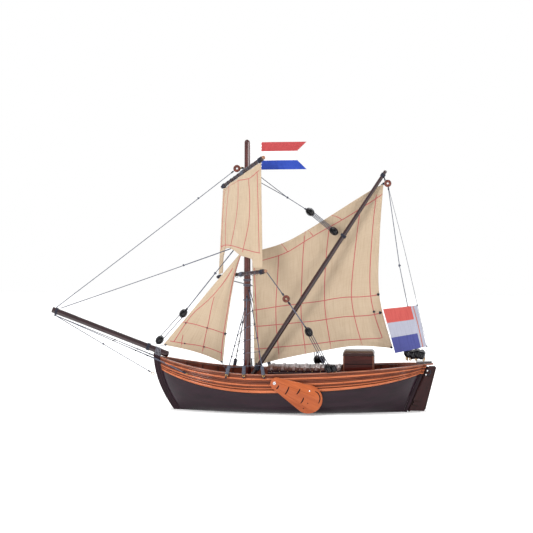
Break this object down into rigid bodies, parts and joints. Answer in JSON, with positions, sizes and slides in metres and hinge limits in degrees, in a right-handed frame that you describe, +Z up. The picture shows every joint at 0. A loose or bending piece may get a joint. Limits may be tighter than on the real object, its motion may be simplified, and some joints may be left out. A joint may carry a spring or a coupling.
{
  "type": "sailing barge display model",
  "caption": "Wooden display model of a traditional sprit-rigged sailing barge with planked hull, leeboards, linen sails, rigging, pennant and ensign, on its flat bottom.",
  "frame": {"origin": "on the flat bottom of the hull, on the centre line, under the mast", "axes": "+X along the hull towards the stern and rudder, -X towards the bowsprit; -Y the port side; +Z up along the mast"},
  "size_m": [0.603, 0.13, 0.4207],
  "materials": {
    "dark_hull": "dark brown paint and varnish, semi-gloss",
    "warm_plank": "orange-brown varnished strip planking with dark seams, semi-gloss",
    "brown_wood": "brown stained wood, satin varnish",
    "dark_spar": "very dark brown stained wood, glossy varnish",
    "mast_wood": "red-brown stained wood, glossy varnish",
    "leeboard_wood": "light orange-brown wood, satin varnish",
    "linen": "beige linen with stitched red seams, matte",
    "flag_cloth": "thin striped flag cloth, matte",
    "rope": "grey-blue laid thread, matte",
    "block_wood": "black lacquered wood, glossy",
    "ring_wood": "dark red-brown turned wood, glossy",
    "silver_pin": "bright nickel-plated pins"
  },
  "bodies": {
    "root": {"after_bulkhead": "brown_wood", "bowsprit": "dark_spar", "bowsprit_rigging": "rope", "deck": "brown_wood", "deckhouse": "brown_wood", "deckhouse_roof": "dark_spar", "ensign": "flag_cloth", "forestay": "rope", "forestay_lower_block": "block_wood", "forestay_upper_block": "block_wood", "forward_bulkhead": "brown_wood", "hatch_coaming": "dark_spar", "hatch_cover": "brown_wood", "hull_shell": "dark_hull", "lower_rudder_eye": "silver_pin", "mast": "mast_wood", "mast_step": "brown_wood", "masthead_ring": "ring_wood", "peak_span": "rope", "pennant": "flag_cloth", "port_brace": "rope", "port_brace_lower_block": "block_wood", "port_brace_ring": "ring_wood", "port_brace_upper_block": "block_wood", "port_cap_rail": "warm_plank", "port_leeboard_pivot": "silver_pin", "port_shrouds": "rope", "port_strakes": "warm_plank", "port_vang_block": "block_wood", "span_block": "block_wood", "starboard_brace": "rope", "starboard_brace_lower_block": "block_wood", "starboard_brace_ring": "ring_wood", "starboard_brace_upper_block": "block_wood", "starboard_cap_rail": "warm_plank", "starboard_leeboard_pivot": "silver_pin", "starboard_shrouds": "rope", "starboard_strakes": "warm_plank", "starboard_vang_block": "block_wood", "stem_post": "dark_hull", "stern_post": "dark_hull", "taffrail": "dark_spar", "topmast_stay": "rope", "topsail_stay": "rope", "upper_rudder_eye": "silver_pin", "vangs": "rope"},
    "rudder": {"rudder": "dark_hull", "lower_rudder_pin": "silver_pin", "upper_rudder_pin": "silver_pin"},
    "port_leeboard": {"port_leeboard": "leeboard_wood"},
    "starboard_leeboard": {"starboard_leeboard": "leeboard_wood"},
    "mainsail": {"mainsail": "linen", "sprit": "dark_spar", "sprit_block": "block_wood", "peak_ring": "ring_wood"},
    "staysail": {"staysail": "linen"},
    "topsail": {"topsail": "linen", "topsail_yard": "dark_spar", "topsail_lower_yard": "dark_spar"}
  },
  "joints": [
    {"name": "rudder_turn", "type": "hinge", "parent": "root", "child": "rudder", "pos_m": [0.2509, 0, 0], "axis": [0.3872, 0, 0.922], "range_deg": [-35, 35]},
    {"name": "port_leeboard_swing", "type": "hinge", "parent": "root", "child": "port_leeboard", "pos_m": [0.0476, -0.0617, 0.0495], "axis": [0, 1, 0], "range_deg": [-18, 40]},
    {"name": "starboard_leeboard_swing", "type": "hinge", "parent": "root", "child": "starboard_leeboard", "pos_m": [0.0476, 0.0617, 0.0495], "axis": [0, 1, 0], "range_deg": [-18, 40]},
    {"name": "mainsail_swing", "type": "hinge", "parent": "root", "child": "mainsail", "pos_m": [0, 0, 0.057], "axis": [0, 0, 1], "range_deg": [-15, 15], "deforming": ["vangs", "port_vang_block", "starboard_vang_block", "ensign", "peak_span", "span_block"]},
    {"name": "staysail_swing", "type": "hinge", "parent": "root", "child": "staysail", "pos_m": [-0.132, 0, 0.1005], "axis": [0.6467, -0.034, 0.7619], "range_deg": [-25, 8]},
    {"name": "topsail_swing", "type": "hinge", "parent": "root", "child": "topsail", "pos_m": [0, 0, 0.2], "axis": [0, 0, 1], "range_deg": [-8, 8], "deforming": ["port_brace", "starboard_brace", "port_brace_ring", "starboard_brace_ring", "port_brace_upper_block", "starboard_brace_upper_block"]}
  ]
}
